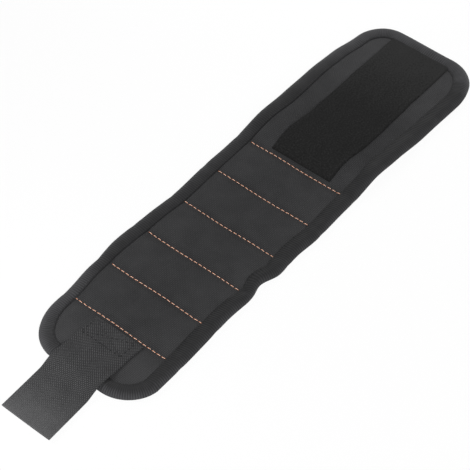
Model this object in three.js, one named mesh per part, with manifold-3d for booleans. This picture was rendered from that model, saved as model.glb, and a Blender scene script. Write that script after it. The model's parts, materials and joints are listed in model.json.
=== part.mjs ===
// A magnetic wristband lying flat, outer side up: a long padded band with five magnet pockets,
// a bound edge, a loop patch at one end and a sewn strap with a hook patch at the other.
// Millimetres, X along the band with the loop end at +X, Y across it, Z up, the table at Z = 0.
// The band folds at its six seams, at two lines across the loop end and at the root of the strap tail.
import * as THREE from 'three';
import { mergeVertices } from 'three/addons/utils/BufferGeometryUtils.js';
import Module from 'manifold-3d';

const wasm = await Module();
wasm.setup();

// Plan of the band
const band_width = 94;
const corner_radius = 24;
const heel_length = 42;
const pocket_count = 5;
const pocket_pitch = 34.3;
const loop_end_length = 150.5;
const loop_fold_count = 2;
const corner_steps = 7;

// Layers, from the table up
const lining_thick = 1.9;
const panel_thick = 0.8;
const layer_gap = 0.3;
const tape_thick = 0.8;
const tape_cover = 10;
const tape_edge = 1.6;
const loop_end_rise = 2.0;
const bump_steps = [[0, 0], [0.12, 0.3], [0.42, 0.75], [1, 1]];
const bump_corner = 2;
const bump_corner_steps = 2;
const pocket_slope = 4.5;
const loop_end_slope = 8;

// Magnets, two bars a pocket
const magnet_thick = 2.5;
const magnet_corner = 1.2;
const magnet_between = 6;
const magnet_end_clear = 1.2;
const magnet_side_clear = 0.7;
const magnet_sink = 0.9;

// Folds
const fold_half_gap = 0.35;
const fold_axis_height = 0.5;
const seam_back_lean = 0.2;
const loop_back_lean = 0.13;
const fold_past_seam = 1.6;
const land_after_fold = 1.6;
const land_before_fold = 3.2;

// Seam threads
const seam_to_tape = 1;
const stitch_length = 3;
const stitch_gap = 0.6;
const thread_width = 0.8;
const thread_height = 0.7;

// Loop patch, strap and hook patch
const patch_width = 50;
const patch_thick = 1.5;
const patch_clear = 0.1;
const patch_margin = 0.4;
const strap_width = 38;
const strap_thick = 1.4;
const strap_reach = 44;
const strap_offset = -3;
const strap_to_seam = 2.5;
const strap_ramp = 4;
const strap_fold_half_gap = 0.45;
const strap_drop_length = 11;
const strap_drop_steps = 6;
const hook_thick = 1.2;
const hook_width = 34;
const hook_length = 28;
const hook_from_tip = 2;

// Places along X
const total_length = strap_reach + heel_length + pocket_count * pocket_pitch + loop_end_length;
const tip_x = -total_length / 2;
const heel_x = tip_x + strap_reach;
const far_x = total_length / 2;
const seam_x = [];
const fold_x = [];
for (let k = 0; k <= pocket_count; k += 1) {
  seam_x.push(heel_x + heel_length + k * pocket_pitch);
  fold_x.push(seam_x[k] + fold_past_seam);
}
const loop_fold_x = [];
const loop_part_length = (far_x - fold_x[pocket_count]) / (loop_fold_count + 1);
for (let k = 1; k <= loop_fold_count; k += 1) {
  loop_fold_x.push(fold_x[pocket_count] + k * loop_part_length);
}

// Lengths across the band
const half_width = band_width / 2;
const rim_inset = tape_edge + layer_gap;
const core_inset = tape_cover + layer_gap;
const bump_half = half_width - core_inset - layer_gap * 4;
const seam_length = band_width - 2 * (tape_cover + seam_to_tape);

// Magnets, sized to fill the flat top inside a pocket
const pocket_wall = panel_thick + pocket_slope;
const pocket_length = pocket_pitch - land_after_fold - land_before_fold;
const magnet_across = bump_half - pocket_wall - magnet_end_clear - magnet_between / 2;
const magnet_along = pocket_length - 2 * (pocket_wall + magnet_side_clear);

// Heights
const panel_low = lining_thick + layer_gap;
const panel_top = panel_low + panel_thick;
const magnet_low = lining_thick - magnet_sink;
const magnet_top = magnet_low + magnet_thick;
const pocket_rise = magnet_top - panel_low;
const tape_height = panel_top + layer_gap + tape_thick;
const rim_low = tape_thick + layer_gap;
const above_all = 40;

// Materials
const panel_cloth = { color: 0x3a3b3b, roughness: 0.9, metalness: 0 };
const lining_mesh = { color: 0x1f2021, roughness: 0.95, metalness: 0 };
const tape_cloth = { color: 0x303131, roughness: 0.85, metalness: 0 };
const webbing = { color: 0x474848, roughness: 0.8, metalness: 0 };
const loop_pile = { color: 0x242424, roughness: 1, metalness: 0 };
const hook_plastic = { color: 0x1a1a1a, roughness: 0.6, metalness: 0 };
const nickel = { color: 0xc4c4c2, roughness: 0.25, metalness: 1 };
const orange_thread = { color: 0xf0a070, roughness: 0.7, metalness: 0 };

const group = new THREE.Group();
group.name = 'magnetic_wristband';

function toSolid(geometry) {
  const bare = geometry.index ? geometry.toNonIndexed() : geometry.clone();
  bare.deleteAttribute('normal');
  bare.deleteAttribute('uv');
  const merged = mergeVertices(bare, 1e-5);
  const mesh = new wasm.Mesh({
    numProp: 3,
    vertProperties: new Float32Array(merged.attributes.position.array),
    triVerts: new Uint32Array(merged.index.array),
  });
  return new wasm.Manifold(mesh);
}

function toGeometry(solid) {
  const mesh = solid.getMesh();
  const geometry = new THREE.BufferGeometry();
  geometry.setAttribute('position', new THREE.BufferAttribute(new Float32Array(mesh.vertProperties), 3));
  geometry.setIndex(new THREE.BufferAttribute(new Uint32Array(mesh.triVerts), 1));
  return geometry;
}

function addPiece(name, solid, look) {
  const mesh = new THREE.Mesh(toGeometry(solid), new THREE.MeshStandardMaterial(look));
  mesh.name = name;
  group.add(mesh);
}

// A flat shape drawn in X and Y, raised from z_low to z_high
function raised(shape, z_low, z_high) {
  const options = { depth: z_high - z_low, bevelEnabled: false };
  const geometry = new THREE.ExtrudeGeometry(shape, options);
  geometry.translate(0, 0, z_low);
  return toSolid(geometry);
}

// A side view drawn in X and Z, drawn out across the band from y_low to y_high
function drawnAcross(points, y_low, y_high) {
  const shape = new THREE.Shape(points.map(([x, z]) => new THREE.Vector2(x, z)));
  const options = { depth: y_high - y_low, bevelEnabled: false };
  const geometry = new THREE.ExtrudeGeometry(shape, options);
  geometry.rotateX(Math.PI / 2);
  geometry.translate(0, y_high, 0);
  return toSolid(geometry);
}

function box(x_low, x_high, y_low, y_high, z_low, z_high) {
  const geometry = new THREE.BoxGeometry(x_high - x_low, y_high - y_low, z_high - z_low);
  geometry.translate((x_low + x_high) / 2, (y_low + y_high) / 2, (z_low + z_high) / 2);
  return toSolid(geometry);
}

// The points of a rounded rectangle, corner by corner
function roundedLoop(x_low, x_high, y_low, y_high, radius, steps) {
  const corners = [
    [x_high - radius, y_low + radius, -0.5],
    [x_high - radius, y_high - radius, 0],
    [x_low + radius, y_high - radius, 0.5],
    [x_low + radius, y_low + radius, 1],
  ];
  const points = [];
  for (const [x, y, start] of corners) {
    for (let i = 0; i <= steps; i += 1) {
      const turn = (start + (0.5 * i) / steps) * Math.PI;
      points.push([x + radius * Math.cos(turn), y + radius * Math.sin(turn)]);
    }
  }
  return points;
}

function roundedShape(x_low, x_high, y_low, y_high, radius, steps) {
  const points = roundedLoop(x_low, x_high, y_low, y_high, radius, steps);
  return new THREE.Shape(points.map(([x, y]) => new THREE.Vector2(x, y)));
}

// The outline of the band, set in from its edge all round
function bandShape(inset) {
  const half = half_width - inset;
  return roundedShape(heel_x + inset, far_x - inset, -half, half, corner_radius - inset, corner_steps);
}

// A closed solid from loops of points, each loop joined to the next, with the ends closed if asked
function solidFromLoops(loops, joined_round) {
  const count = loops[0].length;
  const positions = loops.flat(2);
  const index = [];
  const last = joined_round ? loops.length : loops.length - 1;
  for (let i = 0; i < last; i += 1) {
    const here = i * count;
    const there = ((i + 1) % loops.length) * count;
    for (let j = 0; j < count; j += 1) {
      const next = (j + 1) % count;
      index.push(here + j, here + next, there + next);
      index.push(here + j, there + next, there + j);
    }
  }
  if (!joined_round) {
    const top = (loops.length - 1) * count;
    for (let j = 1; j < count - 1; j += 1) {
      index.push(0, j + 1, j);
      index.push(top, top + j, top + j + 1);
    }
  }
  const geometry = new THREE.BufferGeometry();
  geometry.setAttribute('position', new THREE.Float32BufferAttribute(positions, 3));
  geometry.setIndex(index);
  return toSolid(geometry);
}

// A padded swelling: rounded rectangles that shrink as they rise from base_z by rise over a slope
function swelling(x_low, x_high, y_half, base_z, foot_z, rise, slope, inset) {
  const levels = [[0, foot_z]];
  for (const [share, height] of bump_steps) {
    levels.push([share * slope, base_z + height * rise]);
  }
  const loops = levels.map(([shrink, z]) => {
    const d = inset + shrink;
    const round = bump_corner + slope - shrink;
    const points = roundedLoop(x_low + d, x_high - d, -y_half + d, y_half - d, round, bump_corner_steps);
    return points.map(([x, y]) => [x, y, z]);
  });
  return solidFromLoops(loops, false);
}

// The binding tape: a folded tape carried round the whole outline
function bindingRing() {
  const low = tape_thick;
  const high = tape_height - tape_thick;
  const mid = tape_height / 2;
  const profile = [
    [tape_cover, high],
    [tape_cover, tape_height],
    [2.4, tape_height],
    [0.8, tape_height - 0.5],
    [0, mid + 0.5],
    [0, mid - 0.5],
    [0.8, 0.5],
    [2.4, 0],
    [tape_cover, 0],
    [tape_cover, low],
    [tape_edge, low],
    [tape_edge, high],
  ];
  const insets = profile.map(([inset]) => {
    const half = half_width - inset;
    return roundedLoop(heel_x + inset, far_x - inset, -half, half, corner_radius - inset, corner_steps);
  });
  const loops = insets[0].map((_, i) => profile.map(([, z], j) => [...insets[j][i], z]));
  return solidFromLoops(loops, true);
}

// The room of one part of the band: upright below the fold axis, leaning away above it
function partRoom(x_low, x_high, lean_low, lean_high) {
  const rise = above_all - fold_axis_height;
  const left = x_low + fold_half_gap;
  const right = x_high - fold_half_gap;
  return drawnAcross([
    [left, -above_all],
    [right, -above_all],
    [right, fold_axis_height],
    [right - lean_high * rise, above_all],
    [left + lean_low * rise, above_all],
    [left, fold_axis_height],
  ], -band_width, band_width);
}

// The layers at full length, before they are cut at the folds
const panel_sheet = raised(bandShape(rim_inset), panel_low, panel_top);
const lining_core = raised(bandShape(core_inset), 0, lining_thick);
const lining_sheet = raised(bandShape(rim_inset), rim_low, lining_thick).add(lining_core);
const binding_ring = bindingRing();
const upper_side = box(heel_x, far_x, 0, band_width, -above_all, above_all);
const lower_side = box(heel_x, far_x, -band_width, 0, -above_all, above_all);

// One part's binding, as two straight strips or as one piece round an end
function addBinding(name, room, is_end) {
  const cut = binding_ring.intersect(room);
  if (is_end) {
    addPiece(`${name}_binding`, cut, tape_cloth);
    return;
  }
  addPiece(`${name}_binding_left`, cut.intersect(upper_side), tape_cloth);
  addPiece(`${name}_binding_right`, cut.intersect(lower_side), tape_cloth);
}

// A row of lockstitches along a seam: low between stitches, full height over each
function addSeamThread(number) {
  const count = Math.round(seam_length / stitch_length);
  const step = seam_length / count;
  const points = [new THREE.Vector2(-seam_length / 2, 0)];
  points.push(new THREE.Vector2(seam_length / 2, 0));
  for (let i = count - 1; i >= 0; i -= 1) {
    const start = -seam_length / 2 + i * step;
    points.push(new THREE.Vector2(start + step, thread_height * 0.3));
    points.push(new THREE.Vector2(start + step - stitch_gap, thread_height));
    points.push(new THREE.Vector2(start + stitch_gap, thread_height));
  }
  points.push(new THREE.Vector2(-seam_length / 2, thread_height * 0.3));
  const shape = new THREE.Shape(points);
  const geometry = new THREE.ExtrudeGeometry(shape, { depth: thread_width, bevelEnabled: false });
  geometry.rotateX(Math.PI / 2);
  geometry.rotateZ(Math.PI / 2);
  geometry.translate(seam_x[number - 1] - thread_width / 2, 0, panel_top);
  addPiece(`seam_${number}_thread`, toSolid(geometry), orange_thread);
}

// Heel: the flat end that carries the strap
const heel_room = partRoom(heel_x - band_width, fold_x[0], 0, seam_back_lean);
addPiece('heel_outer', panel_sheet.intersect(heel_room), panel_cloth);
addPiece('heel_lining', lining_sheet.intersect(heel_room), lining_mesh);
addBinding('heel', heel_room, true);
addSeamThread(1);

// Pockets: an outer panel swollen over two bar magnets that are sunk into the padded lining
for (let k = 1; k <= pocket_count; k += 1) {
  const name = `pocket_${k}`;
  const room = partRoom(fold_x[k - 1], fold_x[k], seam_back_lean, seam_back_lean);
  const x_low = fold_x[k - 1] + land_after_fold;
  const x_high = fold_x[k] - land_before_fold;
  const x_mid = (x_low + x_high) / 2;
  const crest = swelling(x_low, x_high, bump_half, panel_top, panel_low, pocket_rise, pocket_slope, 0);
  const hollow = swelling(x_low, x_high, bump_half, panel_low, 0, pocket_rise, pocket_slope, panel_thick);
  const outer = panel_sheet.intersect(room).add(crest).subtract(hollow);
  addPiece(`${name}_outer`, outer, panel_cloth);
  let lining = lining_sheet.intersect(room);
  const magnets = [];
  for (const side of [1, -1]) {
    const y_mid = (side * (magnet_across + magnet_between)) / 2;
    const sizes = [0, layer_gap].map((clear) => {
      const half_x = magnet_along / 2 + clear;
      const half_y = magnet_across / 2 + clear;
      return roundedShape(x_mid - half_x, x_mid + half_x, y_mid - half_y, y_mid + half_y, magnet_corner, 2);
    });
    magnets.push(raised(sizes[0], magnet_low, magnet_top));
    lining = lining.subtract(raised(sizes[1], magnet_low, above_all));
  }
  addPiece(`${name}_lining`, lining, lining_mesh);
  addPiece(`${name}_magnet_left`, magnets[0], nickel);
  addPiece(`${name}_magnet_right`, magnets[1], nickel);
  addBinding(name, room, false);
  addSeamThread(k + 1);
}

// Loop end: a long padded panel under the loop patch, in parts that fold on each other
const loop_low = fold_x[pocket_count] + land_after_fold;
const loop_high = far_x - core_inset - layer_gap;
const loop_crest = swelling(loop_low, loop_high, bump_half, panel_top, panel_low,
  loop_end_rise, loop_end_slope, 0);
const loop_hollow = swelling(loop_low, loop_high, bump_half, panel_low, 0,
  loop_end_rise, loop_end_slope, panel_thick);
const loop_fill = swelling(loop_low, loop_high, bump_half, lining_thick, rim_low,
  loop_end_rise, loop_end_slope, panel_thick + layer_gap);
const loop_panel = panel_sheet.add(loop_crest).subtract(loop_hollow);
const loop_lining = lining_sheet.add(loop_fill);
const patch_foot = swelling(loop_low, loop_high, bump_half, panel_top + patch_clear, panel_low,
  loop_end_rise, loop_end_slope, 0);
const patch_crest = swelling(loop_low, loop_high, bump_half, panel_top + patch_clear + patch_thick,
  panel_low, loop_end_rise, loop_end_slope, 0);
const patch_room = box(loop_low + patch_margin, loop_high - patch_margin,
  -patch_width / 2, patch_width / 2, 0, above_all);
const loop_patch = patch_crest.subtract(patch_foot).intersect(patch_room);
const loop_names = ['loop_near', 'loop_mid', 'loop_far'];
const loop_edges = [fold_x[pocket_count], ...loop_fold_x, far_x + band_width];
loop_names.forEach((name, i) => {
  const lean_low = i === 0 ? seam_back_lean : loop_back_lean;
  const lean_high = i === loop_fold_count ? 0 : loop_back_lean;
  const room = partRoom(loop_edges[i], loop_edges[i + 1], lean_low, lean_high);
  addPiece(`${name}_outer`, loop_panel.intersect(room), panel_cloth);
  addPiece(`${name}_lining`, loop_lining.intersect(room), lining_mesh);
  addPiece(`${name}_patch`, loop_patch.intersect(room), loop_pile);
  addBinding(name, room, i === loop_fold_count);
});

// Strap: sewn flat on the heel, up over the binding, then a tail that drops to the table
const strap_low_y = strap_offset - strap_width / 2;
const strap_high_y = strap_offset + strap_width / 2;
const over_tape = tape_height + layer_gap;
const root_line = [
  [heel_x + strap_fold_half_gap, over_tape],
  [heel_x + core_inset, over_tape],
  [heel_x + core_inset + strap_ramp, panel_top],
  [seam_x[0] - strap_to_seam, panel_top],
];
const tail_line = [];
for (let i = 0; i <= strap_drop_steps; i += 1) {
  const share = i / strap_drop_steps;
  const eased = share * share * (3 - 2 * share);
  const x = heel_x - strap_fold_half_gap - share * strap_drop_length;
  tail_line.push([x, over_tape + eased * (hook_thick - over_tape)]);
}
tail_line.push([tip_x, hook_thick]);

// A strip of even height that follows a line drawn in X and Z
function strip(line, thick, y_low, y_high) {
  const upper = line.map(([x, z]) => [x, z + thick]).reverse();
  return drawnAcross([...line, ...upper], y_low, y_high);
}
addPiece('strap_root', strip(root_line, strap_thick, strap_low_y, strap_high_y), webbing);
addPiece('strap_tail', strip(tail_line, strap_thick, strap_low_y, strap_high_y), webbing);
addPiece('hook_patch', box(tip_x + hook_from_tip, tip_x + hook_from_tip + hook_length,
  strap_offset - hook_width / 2, strap_offset + hook_width / 2, 0, hook_thick), hook_plastic);

export default group;
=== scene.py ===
"""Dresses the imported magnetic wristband: woven panel, padded lining, binding, stitches, straps and stage."""
import json
import math
import random
from contextlib import contextmanager

import bpy
import numpy as np
from bpy.props import FloatProperty, FloatVectorProperty, PointerProperty
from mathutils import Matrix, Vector

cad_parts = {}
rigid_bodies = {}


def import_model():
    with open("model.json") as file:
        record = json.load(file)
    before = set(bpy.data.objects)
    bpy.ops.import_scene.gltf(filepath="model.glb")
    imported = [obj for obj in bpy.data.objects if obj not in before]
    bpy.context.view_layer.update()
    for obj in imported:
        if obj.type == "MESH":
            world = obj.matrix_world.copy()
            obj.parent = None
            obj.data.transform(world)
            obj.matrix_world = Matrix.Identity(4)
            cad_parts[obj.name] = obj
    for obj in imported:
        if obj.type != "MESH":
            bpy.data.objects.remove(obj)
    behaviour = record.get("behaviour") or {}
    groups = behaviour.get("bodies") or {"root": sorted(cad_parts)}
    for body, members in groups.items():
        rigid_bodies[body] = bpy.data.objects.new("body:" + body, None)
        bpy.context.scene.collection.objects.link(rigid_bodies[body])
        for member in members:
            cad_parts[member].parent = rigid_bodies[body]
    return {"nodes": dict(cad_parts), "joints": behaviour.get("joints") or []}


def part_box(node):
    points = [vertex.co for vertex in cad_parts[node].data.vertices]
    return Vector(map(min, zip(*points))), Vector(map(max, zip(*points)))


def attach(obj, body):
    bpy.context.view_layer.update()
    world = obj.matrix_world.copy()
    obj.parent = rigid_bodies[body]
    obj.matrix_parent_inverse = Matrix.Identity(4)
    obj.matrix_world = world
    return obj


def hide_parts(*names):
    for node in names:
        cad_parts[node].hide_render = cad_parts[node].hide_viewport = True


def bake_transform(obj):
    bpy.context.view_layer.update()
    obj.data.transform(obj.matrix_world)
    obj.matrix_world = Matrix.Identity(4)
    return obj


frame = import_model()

bl_info = {
    "name": "Magnetic wristband",
    "version": (1, 0, 0),
    "blender": (4, 5, 0),
    "location": "View3D > Sidebar > Wristband",
    "description": "Cloth, tape, stitches and stage for a folding magnetic wristband",
    "category": "Object",
}

# Lengths in this script are in millimetres, and meshes are written in metres.
MM = 0.001

# The bodies in order along the band, from the strap's tip to the far end of the loop side.
CHAIN = ("strap_tail", "heel", "pocket_1", "pocket_2", "pocket_3", "pocket_4", "pocket_5",
         "loop_near", "loop_mid", "loop_far")
HINGE = {frozenset((j["parent"], j["child"])): j for j in frame["joints"]}
FOLD = [HINGE[frozenset(pair)]["pos_m"][0] / MM for pair in zip(CHAIN, CHAIN[1:])]
# Half the length about each fold that a cut between pieces keeps clear of: strap, six seams, two in the loop
# end.
SOFT = [8] + [7] * 6 + [12] * 2
SEAM = [sum(corner.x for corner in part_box(f"seam_{k}_thread")) / 2 / MM for k in range(1, 7)]
SEAM_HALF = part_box("seam_1_thread")[1].y / MM
HEEL_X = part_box("heel_binding")[0].x / MM
FAR_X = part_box("loop_far_binding")[1].x / MM
TIP_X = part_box("strap_tail")[0].x / MM
HALF = max(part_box(f"pocket_3_binding_{side}")[1].y for side in ("left", "right")) / MM
# Where the long cloths are parted, midway between two folds. Piece k spans fold k.
PIECES = range(1, 9)
CUT = [HEEL_X] + [(FOLD[k] + SOFT[k] + FOLD[k + 1] - SOFT[k + 1]) / 2 for k in PIECES[:-1]] + [FAR_X]

# Corner radii of the outline in the photograph, which is a little lopsided.
HEEL_UP, HEEL_LOW, FAR_UP, FAR_LOW = 30, 24, 25, 26
# How far the tape reaches in from the edge, and how far in under it the panel and the lining end.
TAPE_COVER = 10
PANEL_INSET = 8
# Spacing of the places along the outline.
EDGE_STEP = 1.3
# Length of a black stitch, of a bobbin stitch, and the share of its pitch that an orange stitch takes.
BLACK_STITCH = 2.2
BOBBIN_STITCH = 2.9
ORANGE_SHARE = 0.86

# How far each long edge lies outside the straight line, at places along the band.
UPPER_BOW = ((-160, -4.6), (-120, -3.3), (-92, -0.1), (-68, 2.1), (-40, 1.1), (-10, -0.5), (30, 0.7),
             (60, 1.6), (85, 1.0), (130, 2.6), (156, 2.0), (182, -1.2), (204, -1.8))
LOWER_BOW = ((-160, 1.5), (-120, 1.9), (-70, -0.4), (-50, 0.6), (-37, -2.2), (-22, 1.2), (-5, 0.4),
             (15, 1.9), (50, 0.5), (78, 0.9), (100, 1.3), (140, 2.1), (170, 2.4), (188, 0.3), (204, 0.0))
# How far the band is lifted off the table as it lies.
LIFT = ((-204, 0), (-150, 0.1), (-100, 0.3), (-37, 0), (10, 0.3), (52, 0.45), (80, 4.5), (100, 3.6),
        (130, 1.9), (160, 0.6), (204, 0.9))


def eased(x, table):
    """A curve through the points of a table, level at each of them."""
    x = np.asarray(x, float)
    places = np.array([p[0] for p in table], float)
    values = np.array([p[1] for p in table], float)
    i = np.clip(np.searchsorted(places, x) - 1, 0, len(places) - 2)
    t = np.clip((x - places[i]) / (places[i + 1] - places[i]), 0, 1)
    return values[i] + (values[i + 1] - values[i]) * t * t * (3 - 2 * t)


def rise(x, start, end):
    """0 before start, 1 after end, smooth between."""
    t = np.clip((np.asarray(x, float) - start) / (end - start), 0, 1)
    return t * t * (3 - 2 * t)


def warped(x, y):
    """The place across the band after its edges bow in and out."""
    bow = np.where(y > 0, eased(x, UPPER_BOW), eased(x, LOWER_BOW))
    return y + np.sign(y) * bow * np.minimum(np.abs(y) / HALF, 1.1) ** 3


def half_width(x, inset, upper):
    """Half the width at x of the outline drawn in by inset, with its round corners."""
    x = np.asarray(x, float)
    out = np.full(x.shape, HALF - inset)
    heel, far = (HEEL_UP, FAR_UP) if upper else (HEEL_LOW, FAR_LOW)
    for from_end, radius in ((x - HEEL_X - inset, heel - inset), (FAR_X - inset - x, far - inset)):
        d = np.clip(radius - from_end, 0, radius)
        out = np.where(d > 0, HALF - inset - radius + np.sqrt(np.maximum(radius ** 2 - d ** 2, 0)), out)
    return out


def lift(x, y):
    """Height of the band's underside over the table."""
    return eased(x, LIFT) + 0.1 * (1 + np.sin(np.asarray(x) / 19.0 + np.asarray(y) / 37.0))


def add_object(name, points, faces):
    """A mesh object at the origin from points in millimetres."""
    mesh = bpy.data.meshes.new(name)
    mesh.from_pydata((np.asarray(points) * MM).tolist(), [], faces)
    obj = bpy.data.objects.new(name, mesh)
    bpy.context.scene.collection.objects.link(obj)
    return obj


def pick(*objects):
    """Selects these objects alone, the first one active."""
    bpy.ops.object.select_all(action="DESELECT")
    for obj in objects:
        obj.select_set(True)
    bpy.context.view_layer.objects.active = objects[0]


def shaped_grid(name, points, u, v):
    """A grid added flat and pulled to points[row, column], with lengths u and v as its UV map in metres."""
    rows, columns = points.shape[:2]
    bpy.ops.object.select_all(action="DESELECT")
    bpy.ops.mesh.primitive_grid_add(x_subdivisions=columns - 1, y_subdivisions=rows - 1, size=1)
    obj = bpy.context.object
    obj.name = obj.data.name = name
    obj.data.vertices.foreach_set("co", (points * MM).ravel())
    index = np.zeros(len(obj.data.loops), int)
    obj.data.loops.foreach_get("vertex_index", index)
    uv = np.stack([np.broadcast_to(lengths, (rows, columns)) for lengths in (u, v)], -1).reshape(-1, 2)
    obj.data.uv_layers.active.data.foreach_set("uv", (uv[index] * MM).ravel())
    obj.data.update()
    bpy.ops.object.shade_smooth()
    return obj


@contextmanager
def edit_mode(obj):
    """All of an object selected in edit mode."""
    pick(obj)
    bpy.ops.object.mode_set(mode="EDIT")
    bpy.ops.mesh.select_all(action="SELECT")
    yield
    bpy.ops.object.mode_set(mode="OBJECT")


def joined(name, parts):
    """One object of several."""
    pick(*parts)
    if len(parts) > 1:
        bpy.ops.object.join()
    obj = bpy.context.view_layer.objects.active
    obj.name = obj.data.name = name
    return obj


def stitches(name, ends, radius, sink, sides=6, steps=6):
    """Thread laid in short arched tubes, each from one place to another and sunk at its ends.
    The UV map runs along each stitch in metres and round it from 0 to 1."""
    end_share, flatness = 0.45, 0.85
    points, faces, uv = [], [], []
    for start, end in ends:
        start, end = np.array(start, float), np.array(end, float)
        along = end - start
        length = np.linalg.norm(along)
        along /= length
        side = np.cross((0, 0, 1), along)
        side /= np.linalg.norm(side)
        up = np.cross(along, side)
        base = len(points)
        for i in range(steps + 1):
            t = i / steps
            arch = math.sin(math.pi * t) ** 0.5 if 0 < t < 1 else 0
            thick = radius * (end_share + (1 - end_share) * arch)
            centre = start + along * length * t + up * (sink * (arch - 1))
            for j in range(sides):
                turn = 2 * math.pi * j / sides
                points.append(centre + side * thick * math.cos(turn) + up * thick * flatness * math.sin(turn))
        for i in range(steps):
            for j in range(sides):
                k = (j + 1) % sides
                a, b = base + i * sides, base + (i + 1) * sides
                faces.append((a + j, b + j, b + k, a + k))
                low, high = length * i / steps * MM, length * (i + 1) / steps * MM
                before, after = j / sides, (j + 1) / sides
                uv.append(((low, before), (high, before), (high, after), (low, after)))
        for ring, order in ((base, range(sides)), (base + steps * sides, range(sides - 1, -1, -1))):
            faces.append(tuple(ring + j for j in order))
            uv.append(tuple((0.0, j / sides) for j in order))
    obj = add_object(name, points, faces)
    layer = obj.data.uv_layers.new(name="UVMap")
    layer.data.foreach_set("uv", np.array([c for face in uv for c in face]).ravel())
    with edit_mode(obj):
        bpy.ops.mesh.normals_make_consistent(inside=False)
    bpy.ops.object.shade_smooth()
    return obj


def dress(obj, material):
    """Gives a piece its material."""
    obj.data.materials.clear()
    obj.data.materials.append(material)


def hang(obj, k, material, slot, *kinds):
    """Dresses a piece, bakes its placement into its mesh and lets it stand for the CAD solids of some kinds of
    the bodies on both sides of fold k.
    """
    dress(obj, material)
    near, far = CHAIN[k], CHAIN[k + 1]
    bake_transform(obj)
    starts = tuple(f"{body}_{kind}" for body in (near, far) for kind in kinds)
    nodes = [name for name in frame["nodes"] if name.startswith(starts)]
    if nodes:
        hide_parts(*nodes)


def rounded(inset, radius):
    """Share of the full height at an inset from an edge that is rounded off."""
    return np.sqrt(np.clip(1 - (1 - np.clip(inset / radius, 0, 1)) ** 2, 0, 1))


def distances(row):
    """Distance along a line of places, from its first to each of them."""
    return np.concatenate([[0], np.cumsum(np.linalg.norm(np.diff(row, axis=0), axis=1))])


# Materials.

# The tones of each finish as sRGB hex, from its hollows to its crowns.
TONES = {
    "panel": ("#202021", "#333334", "#444445"),
    "lining": ("#0c0c0d", "#27272a", "#343437"),
    "tape": ("#101011", "#1d1d1e", "#2a2a2b", "#414143"),
    "strap": ("#0f0f10", "#2e2e2f", "#5b5b5c"),
    "pile": ("#181818", "#222222", "#303030"),
    "hook": ("#141415", "#2a2a2c"),
    "magnet": ("#9a9a96", "#c4c3be"),
    "seam_thread": ("#ab3d0a", "#f0935a", "#fff0e0"),
    "bobbin_thread": ("#101011", "#1c1c1e", "#2c2c2e"),
    "edge_thread": ("#0f0f10", "#1a1a1b", "#29292a"),
    "patch_thread": ("#0e0e0f", "#181819", "#242425"),
    "strap_thread": ("#141415", "#1b1b1c", "#262627"),
    "paper": ("#fbfbfb", "#ffffff"),
}
# A wave texture with scale 1 repeats every pi / 10 units.
WAVE = math.pi / 10


def linear(hex_code):
    """A colour written as sRGB hex, in the linear values that shaders take."""
    parts = [int(hex_code[i:i + 2], 16) / 255 for i in (1, 3, 5)]
    return tuple(c / 12.92 if c <= 0.04045 else ((c + 0.055) / 1.055) ** 2.4 for c in parts) + (1,)


def repeats(size):
    """How often something of a size in millimetres fits into a metre."""
    return 1 / (size * MM)


def tones(finish, *places):
    """A finish's tones, as the user has set them, at these places of a colour ramp."""
    colours = bpy.context.scene.wristband_colours
    return [(place, getattr(colours, f"{finish}_{i}")) for i, place in enumerate(places, 1)]


def node(tree, kind, inputs=None, stops=(), **settings):
    """Adds a shader node, sets it, and links or fills its inputs. A node given as an input is linked by its
    Fac output where it has one, else by its first. Stops are the places and colours of a ramp."""
    made = tree.nodes.new(f"ShaderNode{kind}")
    for key, value in settings.items():
        setattr(made, key, value)
    for key, value in (inputs or {}).items():
        if isinstance(value, bpy.types.Node):
            value = value.outputs.get("Fac", value.outputs[0])
        if isinstance(value, bpy.types.NodeSocket):
            tree.links.new(value, made.inputs[key])
        else:
            made.inputs[key].default_value = value
    if stops:
        elements = made.color_ramp.elements
        while len(elements) < len(stops):
            elements.new(0.5)
        for element, (place, colour) in zip(elements, stops):
            element.position, element.color = place, colour
    return made


def start_material(name):
    """An empty node material and its tree."""
    material = bpy.data.materials.new(name)
    material.use_nodes = True
    material.node_tree.nodes.clear()
    return material, material.node_tree


def surface(tree, tone, stops, height, depth, values):
    """Ends a material: colours along a tone, a height with its relief in millimetres, and shader values."""
    colour = node(tree, "ValToRGB", {"Fac": tone}, stops)
    bump = node(tree, "Bump", {"Height": height, "Strength": 1.0, "Distance": depth * MM})
    shader = node(tree, "BsdfPrincipled", {"Base Color": colour, "Normal": bump, **values})
    node(tree, "OutputMaterial", {"Surface": shader})
    return shader


def layered(tree, *layers):
    """The sum of several values, each given with its share."""
    total = 0.0
    for value, share in layers:
        total = node(tree, "Math", {0: value, 1: share, 2: total}, operation="MULTIPLY_ADD")
    return total


def plain_weave(tree, uv, pitch, weft_height):
    """Yarns a pitch in millimetres apart that pass over and under each other, as a height from 0 to 1."""
    warp = node(tree, "TexWave", {"Vector": uv, "Scale": WAVE * repeats(pitch)})
    weft = node(tree, "TexWave", {"Vector": uv, "Scale": WAVE * repeats(pitch)}, bands_direction="Y")
    over = node(tree, "TexChecker", {"Vector": uv, "Scale": repeats(pitch)})
    return node(tree, "Mix", {"Factor": over, "A": warp, "B": layered(tree, (weft, weft_height))})


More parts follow.
